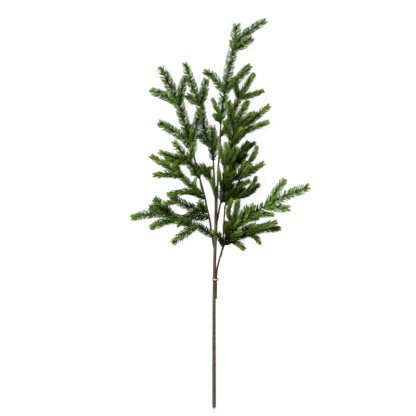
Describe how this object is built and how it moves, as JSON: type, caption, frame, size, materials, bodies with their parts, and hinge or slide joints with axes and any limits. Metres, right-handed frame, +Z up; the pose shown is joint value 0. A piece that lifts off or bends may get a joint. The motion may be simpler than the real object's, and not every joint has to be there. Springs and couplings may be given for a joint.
{
  "type": "artificial spruce branch",
  "caption": "Cut faux spruce branch lying down: a wrapped brown main stem, thin side stems, a pale tie and forked needled sprigs, used as a decoration.",
  "frame": {"origin": "on the table, under the middle of the branch's bounding box", "axes": "+Y from the cut end of the main stem to the top needles, +X to the right as the picture shows it, +Z up from the table"},
  "size_m": [0.4133, 0.9005, 0.1067],
  "materials": {
    "stem": "brown wrapped stem",
    "needles": "moulded green needles",
    "tie": "pale band"
  },
  "bodies": {
    "root": {"main_stem": "stem", "centre_stem": "stem", "leader_stem": "stem", "right_stem": "stem", "left_stem": "stem", "left_back_stem": "stem", "low_stem": "stem", "inner_stem": "stem", "sprig_top": "needles", "sprig_leader_left": "needles", "sprig_leader_right": "needles", "sprig_right_upper": "needles", "sprig_front": "needles", "sprig_front_low": "needles", "sprig_right_mid": "needles", "sprig_right_tip": "needles", "sprig_right_dark": "needles", "sprig_inner_dark": "needles", "sprig_centre_up": "needles", "sprig_left_top": "needles", "sprig_left_back": "needles", "sprig_left_inner": "needles", "sprig_left_front": "needles", "sprig_left_mid": "needles", "sprig_left_arc": "needles", "sprig_left_low": "needles", "sprig_left_outer": "needles", "sprig_left_bottom": "needles", "sprig_right_bottom": "needles", "sprig_right_outer": "needles", "sprig_right_inner": "needles", "sprig_cross": "needles", "sprig_centre_low": "needles", "sprig_centre_left": "needles", "collar": "stem", "tie": "tie"}
  },
  "joints": []
}
